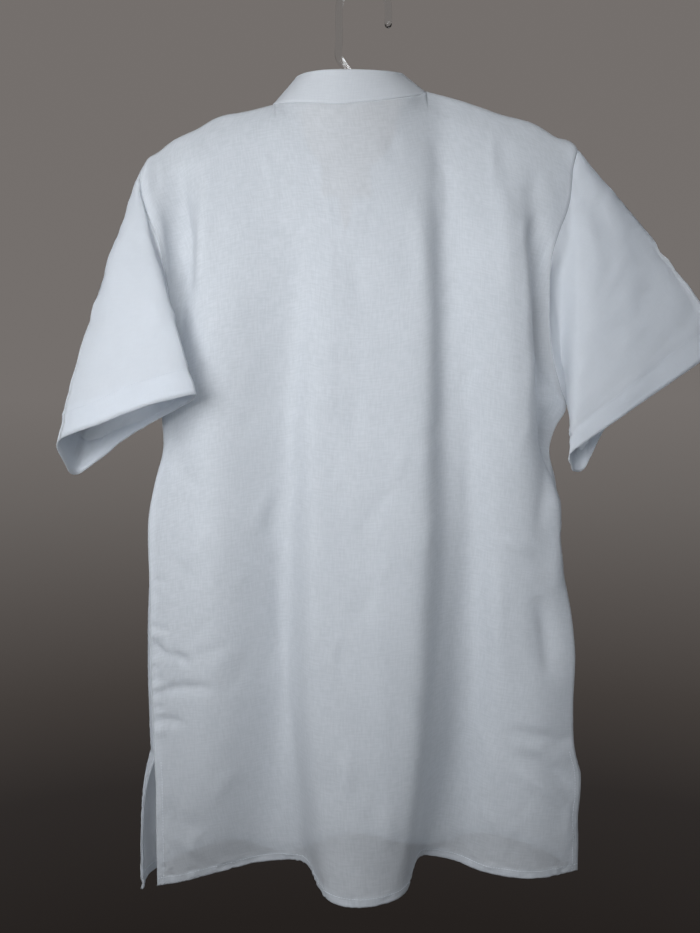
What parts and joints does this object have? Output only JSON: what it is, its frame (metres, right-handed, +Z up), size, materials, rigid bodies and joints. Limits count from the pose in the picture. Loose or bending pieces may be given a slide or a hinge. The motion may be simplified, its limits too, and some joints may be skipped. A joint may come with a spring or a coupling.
{
  "type": "kurta tunic on a hanger",
  "caption": "Short-sleeved white kurta with a band collar, half placket and side slits, hanging in soft folds from a clear plastic hanger with a moulded hook.",
  "frame": {"origin": "the inner top of the hanger's hook, where a rail carries it", "axes": "+Z up along the hanging garment, +X across the shoulders, the garment's back faces -Y and its front +Y"},
  "size_m": [0.6837, 0.1408, 0.9411],
  "materials": {
    "linen": "white slubby cotton and linen plain weave, slightly sheer",
    "button": "white, polished",
    "clear_plastic": "clear moulded plastic, glossy"
  },
  "bodies": {
    "root": {"back_panel": "linen", "front_panel": "linen", "sleeve_left": "linen", "sleeve_right": "linen", "collar_band": "linen", "placket_under": "linen", "placket_over": "linen", "button_1": "button", "button_2": "button", "button_3": "button", "hanger": "clear_plastic"}
  },
  "joints": []
}
